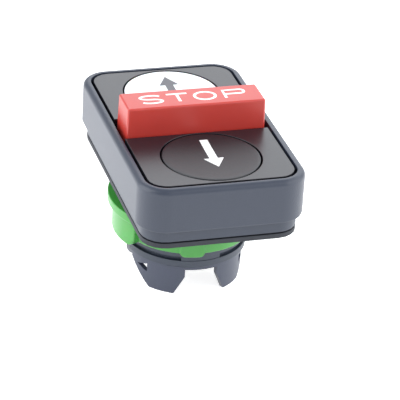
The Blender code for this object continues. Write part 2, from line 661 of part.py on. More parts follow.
def build_stem_seal():
    """Rubber disc over the guide, with a lip round each rod."""
    seal = disc("stem_seal", GUIDE_RADIUS, SEAL_BOTTOM, SEAL_TOP, material=SEAL_BLACK)
    for count, rod_x in enumerate(rod_places()):
        join(seal, disc(f"seal_lip_{count}", ROD_HOLE + SEAL_LIP_WALL, SEAL_BOTTOM + OVERLAP,
                        SEAL_TOP + SEAL_LIP_HEIGHT, SEAL_LIP_STEPS, (rod_x, 0.0)))
    for count, rod_x in enumerate(rod_places()):
        cut(seal, disc(f"seal_hole_{count}", ROD_HOLE, SEAL_BOTTOM - CUT_MARGIN,
                       SEAL_TOP + 2 * CUT_MARGIN, SMALL_ROUND_STEPS, (rod_x, 0.0)))
    shade_round(seal)


def build_spring_seat(name, rod_x, parent):
    """Washer round the seal's lip that takes the foot of a spring."""
    top = SPRING_SEAT_BOTTOM + SPRING_SEAT_THICKNESS
    outline = [(SPRING_SEAT_RADIUS, top), (SPRING_SEAT_RADIUS, SPRING_SEAT_BOTTOM),
               (SPRING_SEAT_BORE, SPRING_SEAT_BOTTOM), (SPRING_SEAT_BORE, top)]
    seat = turned(name, outline, SMALL_ROUND_STEPS, (rod_x, 0.0), SPRING_STEEL, parent)
    shade_round(seat)


def build_spring(name, rod_x, parent):
    """Return spring round a rod, as one wire."""
    line = bpy.data.curves.new(name, "CURVE")
    line.dimensions = "3D"
    line.bevel_depth = WIRE_RADIUS
    line.bevel_resolution = 2
    line.use_fill_caps = True
    line.render_resolution_u = 0
    line.materials.append(SPRING_STEEL)
    wire = line.splines.new("POLY")
    total = SPRING_TURNS * POINTS_PER_TURN
    wire.points.add(total)
    low = SPRING_BOTTOM + WIRE_RADIUS
    high = SPRING_TOP - WIRE_RADIUS
    for count, point in enumerate(wire.points):
        turn = 2 * math.pi * count / POINTS_PER_TURN
        height = low + (high - low) * count / total
        point.co = (SPRING_RADIUS * math.cos(turn), SPRING_RADIUS * math.sin(turn), height, 1.0)
    spring = bpy.data.objects.new(name, line)
    PARTS.objects.link(spring)
    spring.location = (rod_x, 0.0, 0.0)
    spring.parent = parent


def build_foot(name, rod_x, parent):
    """Foot clipped to the rod's end, which presses the contact block."""
    floor = ROD_BOTTOM - SEAT_GAP
    outline = [(FOOT_RADIUS, FOOT_TOP), (FOOT_RADIUS, FOOT_BOTTOM + FOOT_CHAMFER),
               (FOOT_RADIUS - FOOT_CHAMFER, FOOT_BOTTOM), (0.0, FOOT_BOTTOM)]
    socket = [(0.0, floor), (ROD_HOLE, floor), (ROD_HOLE, FOOT_TOP)]
    foot = turned(name, socket + outline, SMALL_ROUND_STEPS, (rod_x, 0.0), NATURAL_WHITE, parent)
    shade_round(foot)


def build_cap(name, material, parent):
    """Dished button cap with a skirt, and a boss that takes the carrier's peg."""
    dish_radius = CAP_RADIUS - CAP_RIM
    dish_floor = FACE_TOP - CAP_DISH
    outline = []
    for count in range(DISH_STEPS + 1):
        share = count / DISH_STEPS
        outline.append((dish_radius * share, dish_floor + CAP_DISH * share ** 2))
    underside = CAP_UNDERSIDE
    peg_hole = PEG_RADIUS + SEAT_GAP
    boss_bottom = CARRIER_TOP + SEAT_GAP
    outline += [(CAP_RADIUS, FACE_TOP - CAP_RIM), (CAP_RADIUS, CAP_SKIRT_BOTTOM),
                (CAP_RADIUS - CAP_WALL, CAP_SKIRT_BOTTOM), (CAP_RADIUS - CAP_WALL, underside),
                (peg_hole + BOSS_WALL, underside), (peg_hole + BOSS_WALL, boss_bottom),
                (peg_hole, boss_bottom), (peg_hole, underside), (0.0, underside)]
    cap = turned(name, outline, ROUND_STEPS, (0.0, -BUTTON_Y), material, parent)
    shade_round(cap)


def build_button_carrier(name, parent):
    """Carrier under a flush button: a disc, an arm that steps down beside the bar, and a rod."""
    carrier = disc(name, CARRIER_DISC_RADIUS, CARRIER_BOTTOM, CARRIER_TOP,
                   centre=(0.0, -BUTTON_Y), material=NATURAL_WHITE, parent=parent)
    peg = disc(name + "_peg", PEG_RADIUS, CARRIER_TOP - OVERLAP, CAP_UNDERSIDE - SEAT_GAP,
               SMALL_ROUND_STEPS, (0.0, -BUTTON_Y), parent=parent)
    riser_near = -RISER_NEAR
    riser_far = riser_near - RISER_THICKNESS
    arm_start = -BUTTON_Y
    arm = slab(name + "_arm", ARM_WIDTH, riser_near - arm_start, CARRIER_BOTTOM + OVERLAP / 2,
               CARRIER_TOP - OVERLAP / 2, centre=(-ARM_X, (riser_near + arm_start) / 2),
               parent=parent)
    riser = slab(name + "_riser", ARM_WIDTH - OVERLAP, RISER_THICKNESS, LOW_ARM_BOTTOM + OVERLAP,
                 CARRIER_TOP - OVERLAP, centre=(-ARM_X, (riser_near + riser_far) / 2 - OVERLAP / 4),
                 parent=parent)
    low_arm = slab(name + "_low_arm", ARM_WIDTH, -riser_far, LOW_ARM_BOTTOM + OVERLAP / 2,
                   LOW_ARM_TOP - OVERLAP / 2, centre=(-ARM_X, riser_far / 2 + OVERLAP / 4),
                   parent=parent)
    hub = disc(name + "_hub", HUB_RADIUS, LOW_ARM_BOTTOM, LOW_ARM_TOP, SMALL_ROUND_STEPS,
               (-ROD_X, 0.0), parent=parent)
    rod = disc(name + "_rod", ROD_RADIUS, ROD_BOTTOM, LOW_ARM_BOTTOM + OVERLAP, SMALL_ROUND_STEPS,
               (-ROD_X, 0.0), parent=parent)
    join(carrier, peg, arm, riser, low_arm, hub, rod)
    shade_round(carrier)


def build_stop_bar(parent):
    """Red bar, slightly tapered, hollow underneath."""
    form = bmesh.new()
    bmesh.ops.create_cube(form, size=1.0)
    bmesh.ops.scale(form, vec=(BAR_LENGTH, BAR_FOOT_DEPTH, BAR_TOP - BAR_BOTTOM), verts=form.verts)
    bmesh.ops.translate(form, vec=(0, 0, (BAR_TOP + BAR_BOTTOM) / 2), verts=form.verts)
    upper = [point for point in form.verts if point.co.z > (BAR_TOP + BAR_BOTTOM) / 2]
    shrink = ((BAR_LENGTH - 2 * BAR_END_TAPER) / BAR_LENGTH, BAR_TOP_DEPTH / BAR_FOOT_DEPTH, 1.0)
    bmesh.ops.scale(form, vec=shrink, verts=upper)
    lower = set(level_edges(form, BAR_BOTTOM))
    outer_edges = [edge for edge in form.edges if edge not in lower]
    bmesh.ops.bevel(form, geom=outer_edges, offset=BAR_EDGE_ROUND, segments=EDGE_STEPS, profile=0.5,
                    affect="EDGES")
    bar = place(mesh_from(form, "stop_bar"), "stop_bar", STOP_RED, parent)
    pocket_length = BAR_LENGTH - 2 * BAR_END_WALL
    cut(bar, slab("stop_bar_pocket", pocket_length, BAR_TOP_DEPTH - 2 * BAR_WALL,
                  BAR_BOTTOM - CUT_MARGIN, BAR_TOP - BAR_WALL, parent=parent))
    shade_round(bar)


def build_stop_carrier(parent):
    """Beam under the bar, with two tongues that plug into it and a hub and rod below."""
    carrier = slab("stop_carrier", BEAM_LENGTH, BEAM_DEPTH, BEAM_BOTTOM, BEAM_TOP,
                   material=NATURAL_WHITE, parent=parent)
    tongue_depth = BAR_TOP_DEPTH - 2 * BAR_WALL - 2 * SEAT_GAP
    tongue_top = BAR_TOP - BAR_WALL - SEAT_GAP
    tongue_x = BAR_LENGTH / 2 - BAR_END_WALL - SEAT_GAP - TONGUE_LENGTH / 2
    for side in (-1, 1):
        join(carrier, slab(f"stop_tongue_{side + 1}", TONGUE_LENGTH, tongue_depth,
                           BEAM_TOP - OVERLAP, tongue_top, centre=(side * tongue_x, 0.0),
                           parent=parent))
    hub = disc("stop_hub", HUB_RADIUS, LOW_ARM_BOTTOM, BEAM_BOTTOM + OVERLAP, SMALL_ROUND_STEPS,
               parent=parent)
    rod = disc("stop_rod", ROD_RADIUS, ROD_BOTTOM, LOW_ARM_BOTTOM + OVERLAP, SMALL_ROUND_STEPS,
               parent=parent)
    join(carrier, hub, rod)
    shade_round(carrier)


def build_flush_button(side, cap_material, turn):
    """One flush button with all that moves or springs with it."""
    holder = empty(side + "_button_axis", turn)
    build_cap(side + "_cap", cap_material, holder)
    build_button_carrier(side + "_carrier", holder)
    build_foot(side + "_foot", -ROD_X, holder)
    build_spring(side + "_spring", -ROD_X, holder)
    build_spring_seat(side + "_spring_seat", -ROD_X, holder)


def build_stop_group():
    """The stop bar with all that moves or springs with it."""
    holder = empty("stop_axis")
    build_stop_bar(holder)
    build_stop_carrier(holder)
    build_foot("stop_foot", 0.0, holder)
    build_spring("stop_spring", 0.0, holder)
    build_spring_seat("stop_spring_seat", 0.0, holder)


build_bezel_frame()
build_face_plate("upper_face_plate", 1)
build_face_plate("lower_face_plate", -1)
build_base_housing()
build_panel_gasket()
build_lock_ring()
build_bayonet_collar()
build_rod_guide()
build_stem_seal()
build_flush_button("down", CAP_BLACK, 0.0)
build_flush_button("up", CAP_WHITE, math.pi)
build_stop_group()
bpy.context.view_layer.update()
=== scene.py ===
"""Looks of a double push button head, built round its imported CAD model.

Metres, +Z towards the operator, with the origin in the panel hole. Sizes that the CAD's boxes give
are read from them, and the rest are named below or set in the sidebar.
"""

import math

import bmesh
import bpy
from mathutils import Matrix, Vector


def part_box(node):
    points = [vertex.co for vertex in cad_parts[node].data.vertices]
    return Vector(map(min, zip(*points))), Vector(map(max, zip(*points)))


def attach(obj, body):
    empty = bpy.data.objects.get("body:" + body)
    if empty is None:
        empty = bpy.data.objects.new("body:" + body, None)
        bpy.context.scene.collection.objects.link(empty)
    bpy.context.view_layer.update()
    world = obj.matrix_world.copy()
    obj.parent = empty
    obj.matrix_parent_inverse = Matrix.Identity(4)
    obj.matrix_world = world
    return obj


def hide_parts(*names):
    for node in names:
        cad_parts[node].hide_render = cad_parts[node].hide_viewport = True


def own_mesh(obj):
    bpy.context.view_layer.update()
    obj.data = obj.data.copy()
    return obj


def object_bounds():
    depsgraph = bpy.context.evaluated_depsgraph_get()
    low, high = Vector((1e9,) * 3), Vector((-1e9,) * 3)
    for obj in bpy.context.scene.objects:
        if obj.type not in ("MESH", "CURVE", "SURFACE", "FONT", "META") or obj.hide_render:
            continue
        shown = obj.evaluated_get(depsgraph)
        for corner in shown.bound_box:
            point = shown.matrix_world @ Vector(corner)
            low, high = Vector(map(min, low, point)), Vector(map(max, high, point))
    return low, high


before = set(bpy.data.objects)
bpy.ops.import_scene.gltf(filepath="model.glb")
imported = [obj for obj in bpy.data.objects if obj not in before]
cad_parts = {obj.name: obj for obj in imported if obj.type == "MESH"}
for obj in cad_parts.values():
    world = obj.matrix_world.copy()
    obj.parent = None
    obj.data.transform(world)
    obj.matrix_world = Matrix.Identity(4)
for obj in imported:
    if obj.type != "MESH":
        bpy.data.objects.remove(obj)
CAD_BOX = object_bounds()

bl_info = {
    "name": "Double push button head",
    "version": (1, 0, 0),
    "blender": (4, 5, 0),
    "location": "3D View > Sidebar > Push button",
    "description": "Builds the visible pieces, finishes and studio of a double push button head",
    "category": "Object",
}

# Boxes of the CAD solids that new pieces take their place from
BEZEL_LOW, BEZEL_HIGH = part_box("bezel_frame")
BAR_LOW, BAR_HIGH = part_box("stop_bar")
CAP_LOW, CAP_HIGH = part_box("down_cap")
SPRING_LOW, SPRING_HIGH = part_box("stop_spring")
CAP_RADIUS = (CAP_HIGH.x - CAP_LOW.x) / 2
BUTTON_Y = -(CAP_HIGH.y + CAP_LOW.y) / 2
FACE_TOP = CAP_HIGH.z
SIDE_ROD_X = (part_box("up_spring")[0].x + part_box("up_spring")[1].x) / 2

# Sizes that the boxes don't give. They are the CAD's, but the caps have a finer rim and the bar has a
# wider pocket
BEZEL_WALL = 0.0014
BEZEL_CORNER = 0.0052
BEZEL_FOOT_CHAMFER = 0.0004
CAP_RIM = 0.0002
CAP_WALL = 0.0008
CAP_SKIN = 0.0011
BOSS_RADIUS = 0.0026
PEG_HOLE_RADIUS = 0.0016
BOSS_BOTTOM = 0.0078
BAR_TOP_DEPTH = 0.0066
BAR_WALL = 0.0015
BAR_POCKET_HEIGHT = 0.0061
SPRING_TURNS = 5
WIRE_RADIUS = 0.00025
SPRING_RADIUS = 0.0019

# Length of the bar's top as a share of its foot's, and how far below the face its edges are rounded
BAR_TOP_LENGTH_SHARE = 0.993
BAR_HIDDEN_DEPTH = 0.0020

# Hooks as the solid has them, and how the real ones depart from it; angles in degrees from the front
BAND_BOTTOM = -0.0125
HOOK_RADIUS = 0.0105
HOOK_BAND_STEP = 0.00006
HOOK_CAD_WALL = 0.0016
HOOK_WALL_MARGIN = 1.1
HOOK_TAPER_DROP = 0.0026
HOOK_TAPER = 0.42
HOOK_FRONT_TURN = 14.5
HOOK_SIDE_TURN = 79
HOOK_NARROWING = 4.0
HOOK_STRETCH = 1.01

# Printed marks: two arrows, and the letters on the bar. An S starts at S_OPENING degrees
ARROW_OFFSET_X = 0.0004
ARROW_LENGTH = 0.0099
ARROW_HEAD_LENGTH = 0.0032
ARROW_HEAD_HALF = 0.0018
ARROW_SHAFT_HALF = 0.00074
DOWN_ARROW_TIP_Y = -0.0164
UP_ARROW_TIP_Y = 0.0195
PRINT_LIFT = 0.00003
PRINT_SINK = 0.00008
PRINT_GRID = 0.0005
LETTER_CENTRES = {"S": -0.00757, "T": -0.00262, "O": 0.00227, "P": 0.00775}
S_OPENING = 25

# Some pieces have finer edges than the moulded edge that the sidebar gives
PLATE_EDGE_SHARE = 0.8
GASKET_EDGE_SHARE = 0.5

# Fineness of the meshes
CORNER_STEPS = 12
BEZEL_EDGE_STEPS = 6
BAR_EDGE_STEPS = 4
SMALL_EDGE_STEPS = 2
RIM_STEPS = 4
TURN_STEPS = 96
DISH_STEPS = 14
COIL_STEPS = 28
WIRE_STEPS = 12
ARC_STEPS = 14
FULL_TURN_STEPS = 40
PEN_STEPS = 3
MERGE_DISTANCE = 0.000001
FLAT_ANGLE = math.radians(1.0)
EDGE_ANGLE = math.radians(32)
SMOOTH_ANGLE = math.radians(40)

# Finish of the plastics
GRAIN_DETAIL = 2.0
GRAIN_BREAKUP = 0.6
FLOW_PATCH = 0.006
FLOW_DETAIL = 3.0
FLOW_BREAKUP = 0.55
ROUGHNESS_SPREAD = 0.05
PLASTIC_IOR = 1.52
BODY_GLOW = 0.25

# Finish of the drawn steel and of the paper floor
STEEL_LINES_PER_METRE = 4000.0
STEEL_LINE_DETAIL = 2.0
STEEL_LINE_STRETCH = 8.0
STEEL_ROUGHNESS_LOW = 0.22
STEEL_ROUGHNESS_HIGH = 0.38
STEEL_RELIEF = 0.000004
PAPER_FIBRES_PER_METRE = 900.0
PAPER_DETAIL = 4.0
PAPER_RELIEF = 0.00001
PAPER_ROUGHNESS = 0.9
FLOOR_REACH = 3.0

# Surrounding light, and the light that the floor gives to the eye and to mirrored views
WHITE = (1.0, 1.0, 1.0)
COOL_WHITE = (0.94, 0.965, 1.0)
AMBIENT = 0.66
FLOOR_LIFT = 0.75
FLOOR_SHEEN = 1.1

# Soft boxes: azimuth and elevation in degrees, distance, width and height in metres, and watts.
# Azimuth 0 is in front and 90 to the right
SOFT_BOXES = (("back soft box", 147, 33, 0.36, 0.40, 0.26, 0.58),
              ("left soft box", -98, 25, 0.60, 0.70, 0.75, 5.0),
              ("right soft box", 66, 27, 0.62, 0.80, 0.75, 4.6),
              ("front fill", 0, 40, 0.80, 0.40, 0.40, 0.15))

# Camera that fits the photograph, in metres and radians, with its lens and film in millimetres
CAMERA_AZIMUTH = -0.307005
CAMERA_ELEVATION = 0.494818
CAMERA_ROLL = 0.061367
CAMERA_DISTANCE = 0.420563
CAMERA_RIGHT = 0.001596
CAMERA_UP = -0.013660
CAMERA_LENS = 212.71
FILM_WIDTH = 36.0


def linear(hex_colour):
    """Turn an sRGB hex colour into linear red, green and blue."""
    levels = [int(hex_colour[place:place + 2], 16) / 255 for place in (1, 3, 5)]
    return [level / 12.92 if level <= 0.04045 else ((level + 0.055) / 1.055) ** 2.4
            for level in levels]


def length_property(name, description, default):
    """Length that the sidebar shows in the scene's units."""
    return bpy.props.FloatProperty(name=name, description=description, default=default, min=0.0,
                                   precision=5, subtype="DISTANCE", unit="LENGTH")


def colour_property(name, description, hex_colour):
    """Colour that the sidebar shows as a swatch."""
    return bpy.props.FloatVectorProperty(name=name, description=description, size=3,
                                         default=linear(hex_colour), min=0.0, max=1.0,
                                         subtype="COLOR")


class PushButtonSizes(bpy.types.PropertyGroup):
    """Sizes that a user would change."""

    bezel_round: length_property("Bezel edge", "Radius of the bezel's upper edge", 0.0010)
    moulded_edge: length_property("Moulded edge", "Radius of the small moulded edges", 0.00010)
    fine_edge: length_property("Fine edge", "Radius of the edges of housing, ribs and hooks",
                               0.000025)
    ring_edge: length_property("Ring edge", "Radius of the lock ring's edges", 0.00020)
    bar_edge: length_property("Bar edge", "Radius of the bar's edges", 0.00035)
    dish_depth: length_property("Dish depth", "Depth of the dish in each flush cap", 0.0003)
    hook_wall: length_property("Hook wall", "Thickness of each bayonet hook", 0.0009)
    letter_width: length_property("Letter width", "Width of a letter, with its stroke", 0.0043)
    letter_height: length_property("Letter height", "Height of a letter, with its stroke", 0.0035)
    letter_stroke: length_property("Letter stroke", "Width of the stroke of a letter", 0.00052)


class PushButtonColours(bpy.types.PropertyGroup):
    """Colours of the plastics, the rubber, the steel and the floor."""

    bezel: colour_property("Bezel", "Slate grey polycarbonate of the bezel", "#2b3241")
    housing: colour_property("Housing", "Slate grey polyamide of the housing", "#2b3240")
    plate: colour_property("Face plates", "Near-black polycarbonate of the face", "#17171e")
    black_cap: colour_property("Black cap", "Black polycarbonate of the lower cap", "#14161c")
    white_cap: colour_property("White cap", "White polycarbonate of the upper cap", "#eeeeee")
    stop_red: colour_property("Stop bar", "Red polycarbonate of the bar", "#bd3a31")
    lock_green: colour_property("Lock ring", "Green polyamide of the lock ring", "#3f9839")
    hook_grey: colour_property("Hooks", "Grey polyamide of the hooks", "#363b4d")
    rubber: colour_property("Rubber", "Black rubber of the gasket and seal", "#23262d")
    acetal: colour_property("Acetal", "Natural acetal of the inner pieces", "#dcdad0")
    steel: colour_property("Steel", "Bright drawn steel of the springs", "#b0b2b6")
    white_ink: colour_property("White mark", "White of the arrow and the letters", "#f6f6f6")
    grey_ink: colour_property("Dark mark", "Dark grey of the upper arrow", "#4b4b52")
    floor: colour_property("Floor", "Matt white paper of the floor", "#f0f0f0")


def sizes():
    """Sizes set in the sidebar."""
    return bpy.context.scene.push_button_sizes


def colours():
    """Colours set in the sidebar."""
    return bpy.context.scene.push_button_colours


def add_node(tree, kind, settings=None, values=None, links=None):
    """Add a node with its settings, its socket values and its incoming links."""
    node = tree.nodes.new(kind)
    for name, value in (settings or {}).items():
        setattr(node, name, value)
    for socket, value in (values or {}).items():
        node.inputs[socket].default_value = value
    for socket, source in (links or {}).items():
        tree.links.new(source, node.inputs[socket])
    return node


def new_material(name):
    """Material with a Principled shader, and that shader."""
    material = bpy.data.materials.new(name)
    material.use_nodes = True
    return material, material.node_tree.nodes["Principled BSDF"]


def moulded_plastic(name, colour, roughness, grain, relief, mottle=0.06, body_depth=0.0):
    """Injection-moulded plastic. The steel mould's texture leaves fine grains on it, which spread
    the light, and the melt's flow leaves patches that differ a little in colour and gloss.
    Grain is the spacing of the grains and relief their height, in metres. Mottle is how much the
    patches differ in colour, and body depth is how far light goes in, in metres."""
    if name in bpy.data.materials:
        return bpy.data.materials[name]
    material, shader = new_material(name)
    tree = material.node_tree
    place = add_node(tree, "ShaderNodeTexCoord")
    grains = add_node(tree, "ShaderNodeTexNoise",
                      values={"Scale": 1 / grain, "Detail": GRAIN_DETAIL,
                              "Roughness": GRAIN_BREAKUP},
                      links={"Vector": place.outputs["Object"]})
    flow = add_node(tree, "ShaderNodeTexNoise",
                    values={"Scale": 1 / FLOW_PATCH, "Detail": FLOW_DETAIL,
                            "Roughness": FLOW_BREAKUP},
                    links={"Vector": place.outputs["Object"]})
    dark = [level * (1 - mottle) for level in colour] + [1.0]
    light = [min(1.0, level * (1 + mottle)) for level in colour] + [1.0]
    tint = add_node(tree, "ShaderNodeMix", settings={"data_type": "RGBA"},
                    values={"A": dark, "B": light}, links={"Factor": flow.outputs["Fac"]})
    gloss = add_node(tree, "ShaderNodeMapRange",
                     values={"To Min": roughness - ROUGHNESS_SPREAD,
                             "To Max": roughness + ROUGHNESS_SPREAD},
                     links={"Value": grains.outputs["Fac"]})
    bump = add_node(tree, "ShaderNodeBump", values={"Strength": 1.0, "Distance": relief},
                    links={"Height": grains.outputs["Fac"]})
    tree.links.new(tint.outputs["Result"], shader.inputs["Base Color"])
    tree.links.new(gloss.outputs["Result"], shader.inputs["Roughness"])
    tree.links.new(bump.outputs["Normal"], shader.inputs["Normal"])
    shader.inputs["IOR"].default_value = PLASTIC_IOR
    if body_depth > 0:
        shader.inputs["Subsurface Weight"].default_value = BODY_GLOW
        shader.inputs["Subsurface Scale"].default_value = body_depth
    return material


def bezel_plastic():
    """Polycarbonate from a spark-eroded mould: a fine even grain with a soft grey sheen. The real
    grain is about 0.1 mm, and is drawn at 0.3 mm so that the render shows it."""
    return moulded_plastic("spark eroded slate polycarbonate", colours().bezel, roughness=0.40,
                           grain=0.0003, relief=0.000028)


def housing_plastic():
    """Glass-filled polyamide: a slightly rougher, duller slate grey, with flow patches."""
    return moulded_plastic("slate glass filled polyamide", colours().housing, roughness=0.46,
                           grain=0.0004, relief=0.000014, mottle=0.09)


def plate_plastic():
    """Satin polycarbonate, nearly black: smooth enough to mirror the bar as a soft patch."""
    return moulded_plastic("satin black polycarbonate", colours().plate, roughness=0.32,
                           grain=0.0003, relief=0.000006)


def black_cap_plastic():
    """Satin polycarbonate of the lower cap: a little rougher than the plates, so that it mirrors
    the bar more faintly than they do."""
    return moulded_plastic("satin black cap polycarbonate", colours().black_cap, roughness=0.44,
                           grain=0.0003, relief=0.000006)


def white_cap_plastic():
    """White polycarbonate, which lets a little light in before it sends it back."""
    return moulded_plastic("satin white cap polycarbonate", colours().white_cap, roughness=0.35,
                           grain=0.0003, relief=0.000005, mottle=0.01, body_depth=0.0004)


def red_plastic():
    """Red polycarbonate with a fine satin grain: the colour glows a little at its edges."""
    return moulded_plastic("satin red polycarbonate", colours().stop_red, roughness=0.34,
                           grain=0.0003, relief=0.000008, mottle=0.03, body_depth=0.0005)


def green_plastic():
    """Green polyamide: glossy, and lighter at thin edges, where light comes through."""
    return moulded_plastic("bright green polyamide", colours().lock_green, roughness=0.32,
                           grain=0.0005, relief=0.000008, mottle=0.04, body_depth=0.0008)


def hook_plastic():
    """Grey polyamide of the hooks, with faint flow patches from the thin moulding."""
    return moulded_plastic("grey hook polyamide", colours().hook_grey, roughness=0.42,
                           grain=0.0004, relief=0.000012, mottle=0.10)


def acetal_plastic():
    """Natural acetal: off-white, slippery and slightly translucent."""
    return moulded_plastic("natural acetal", colours().acetal, roughness=0.38, grain=0.0005,
                           relief=0.000006, mottle=0.02, body_depth=0.0006)


def seal_rubber():
    """Moulded rubber: black and matt, with a fine dusty grain."""
    return moulded_plastic("black moulded rubber", colours().rubber, roughness=0.72,
                           grain=0.0004, relief=0.000020, mottle=0.15)


def ink(name, colour):
    """Second-shot plastic or ink of a mark: even, satin and opaque."""
    return moulded_plastic(name, colour, roughness=0.40, grain=0.0004, relief=0.000003,
                           mottle=0.01)


def drawn_steel():
    """Drawn spring wire: bright, with fine lines along the wire that stretch its highlights."""
    if "drawn spring steel" in bpy.data.materials:
        return bpy.data.materials["drawn spring steel"]
    material, shader = new_material("drawn spring steel")
    tree = material.node_tree
    place = add_node(tree, "ShaderNodeTexCoord")
    flat = add_node(tree, "ShaderNodeMapping", values={"Scale": (1.0, 1.0, STEEL_LINE_STRETCH)},
                    links={"Vector": place.outputs["Object"]})
    lines = add_node(tree, "ShaderNodeTexNoise",
                     values={"Scale": STEEL_LINES_PER_METRE, "Detail": STEEL_LINE_DETAIL},
                     links={"Vector": flat.outputs["Vector"]})
    gloss = add_node(tree, "ShaderNodeMapRange",
                     values={"To Min": STEEL_ROUGHNESS_LOW, "To Max": STEEL_ROUGHNESS_HIGH},
                     links={"Value": lines.outputs["Fac"]})
    bump = add_node(tree, "ShaderNodeBump", values={"Distance": STEEL_RELIEF},
                    links={"Height": lines.outputs["Fac"]})
    tree.links.new(gloss.outputs["Result"], shader.inputs["Roughness"])
    tree.links.new(bump.outputs["Normal"], shader.inputs["Normal"])
    shader.inputs["Base Color"].default_value = [*colours().steel, 1.0]
    shader.inputs["Metallic"].default_value = 1.0
    return material


def level_edges(form, height):
    """Edges that lie in one level plane."""
    return [edge for edge in form.edges
            if all(abs(end.co.z - height) < MERGE_DISTANCE for end in edge.verts)]


def level_face(form, height):
    """Largest face in one level plane."""
    level = [face for face in form.faces
             if all(abs(end.co.z - height) < MERGE_DISTANCE for end in face.verts)]
    return max(level, key=lambda face: face.calc_area())


def bevel(form, edges, width, segments):
    """Round or chamfer edges."""
    bmesh.ops.bevel(form, geom=edges, offset=width, segments=segments, profile=0.5,
                    affect="EDGES", material=-1)


def slab_form(low, high, corner):
    """Block between two corners of a box, with its upright edges rounded."""
    form = bmesh.new()
    bmesh.ops.create_cube(form, size=1.0)
    bmesh.ops.scale(form, vec=high - low, verts=form.verts)
    bmesh.ops.translate(form, vec=(high + low) / 2, verts=form.verts)
    upright = [edge for edge in form.edges if edge.verts[0].co.xy == edge.verts[1].co.xy]
    bevel(form, upright, corner, CORNER_STEPS)
    return form


def turned_form(outline, centre_y):
    """Shape turned about an upright axis from a (radius, height) outline."""
    form = bmesh.new()
    points = [form.verts.new((radius, 0.0, height)) for radius, height in outline]
    for first, second in zip(points, points[1:]):
        form.edges.new((first, second))
    bmesh.ops.spin(form, geom=form.verts[:] + form.edges[:], cent=(0, 0, 0), axis=(0, 0, 1),
                   angle=2 * math.pi, steps=TURN_STEPS, use_merge=True)
    bmesh.ops.remove_doubles(form, verts=form.verts, dist=MERGE_DISTANCE)
    bmesh.ops.translate(form, vec=(0, centre_y, 0), verts=form.verts)
    return form


def rounded_copy(node, edge_round, reshape=None):
    """Copy of a CAD solid, reshaped if asked, with its crisp edges rounded as a mould leaves them.
    Flat faces are joined before the reshaping, while they are still flat."""
    form = bmesh.new()
    form.from_mesh(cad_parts[node].data)
    bmesh.ops.remove_doubles(form, verts=form.verts, dist=MERGE_DISTANCE)
    bmesh.ops.dissolve_limit(form, angle_limit=FLAT_ANGLE, verts=form.verts, edges=form.edges)
    if reshape:
        reshape(form)
    crisp = [edge for edge in form.edges
             if edge.is_manifold and edge.calc_face_angle() > EDGE_ANGLE]
    bevel(form, crisp, edge_round, SMALL_EDGE_STEPS)
    return form


def make_piece(form, name, material, body, replaced=()):
    """Turn a finished form into a piece that rides on a body."""
    bmesh.ops.recalc_face_normals(form, faces=form.faces)
    mesh = bpy.data.meshes.new(name)
    form.to_mesh(mesh)
    form.free()
    mesh.materials.append(material)
    mesh.shade_smooth()
    mesh.set_sharp_from_angle(angle=SMOOTH_ANGLE)
    piece = bpy.data.objects.new(name, mesh)
    bpy.context.scene.collection.objects.link(piece)
    weigh = piece.modifiers.new("even shading", "WEIGHTED_NORMAL")
    weigh.keep_sharp = True
    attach(piece, body)
    if replaced:
        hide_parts(*replaced)
    return piece


def dress(material, *nodes):
    """Give CAD nodes that stay in view a finish."""
    for node in nodes:
        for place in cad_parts[node].material_slots:
            place.material = material


def dish_height(radius):
    """Height of the dished cap's top at a distance from its middle."""
    share = min(1.0, radius / (CAP_RADIUS - CAP_RIM))
    return FACE_TOP - sizes().dish_depth * (1 - share ** 2)


def cap_outline():
    """Section of a flush cap: dish, rounded rim, skirt and boss."""
    dish_radius = CAP_RADIUS - CAP_RIM
    outline = [(dish_radius * step / DISH_STEPS, dish_height(dish_radius * step / DISH_STEPS))
               for step in range(DISH_STEPS + 1)]
    for step in range(1, RIM_STEPS + 1):
        turn = math.pi / 2 * step / RIM_STEPS
        outline.append((dish_radius + CAP_RIM * math.sin(turn),
                        FACE_TOP - CAP_RIM * (1 - math.cos(turn))))
    underside = FACE_TOP - sizes().dish_depth - CAP_SKIN
    return outline + [(CAP_RADIUS, CAP_LOW.z), (CAP_RADIUS - CAP_WALL, CAP_LOW.z),
                      (CAP_RADIUS - CAP_WALL, underside), (BOSS_RADIUS, underside),
                      (BOSS_RADIUS, BOSS_BOTTOM), (PEG_HOLE_RADIUS, BOSS_BOTTOM),
                      (PEG_HOLE_RADIUS, underside), (0.0, underside)]


def arrow_form(tip_y, direction, button_y):
    """Thin arrow that lies on a dished cap. Direction is 1 for up the face and -1 for down. It is
    cut into a grid first, so that it follows the dish."""
    wings = ARROW_LENGTH - ARROW_HEAD_LENGTH
    half = [(ARROW_SHAFT_HALF, 0.0), (ARROW_SHAFT_HALF, wings), (ARROW_HEAD_HALF, wings)]
    outline = half + [(0.0, ARROW_LENGTH)] + [(-across, along) for across, along in reversed(half)]
    form = bmesh.new()
    form.faces.new([form.verts.new((ARROW_OFFSET_X + across,
                                    tip_y - direction * (ARROW_LENGTH - along), 0.0))
                    for across, along in outline])
    for axis in (0, 1):
        places = [point.co[axis] for point in form.verts]
        low, high = min(places), max(places)
        for step in range(1, math.ceil((high - low) / PRINT_GRID)):
            point = Vector((0, 0, 0))
            point[axis] = low + step * PRINT_GRID
            normal = Vector((0, 0, 0))
            normal[axis] = 1.0
            everything = form.verts[:] + form.edges[:] + form.faces[:]
            bmesh.ops.bisect_plane(form, geom=everything, plane_co=point, plane_no=normal,
                                   dist=MERGE_DISTANCE)
    for point in form.verts:
        point.co.z = dish_height(math.hypot(point.co.x, point.co.y - button_y)) + PRINT_LIFT
    pushed = bmesh.ops.extrude_face_region(form, geom=form.faces[:])
    lower = [piece for piece in pushed["geom"] if isinstance(piece, bmesh.types.BMVert)]
    bmesh.ops.translate(form, vec=(0, 0, -PRINT_SINK), verts=lower)
    return form


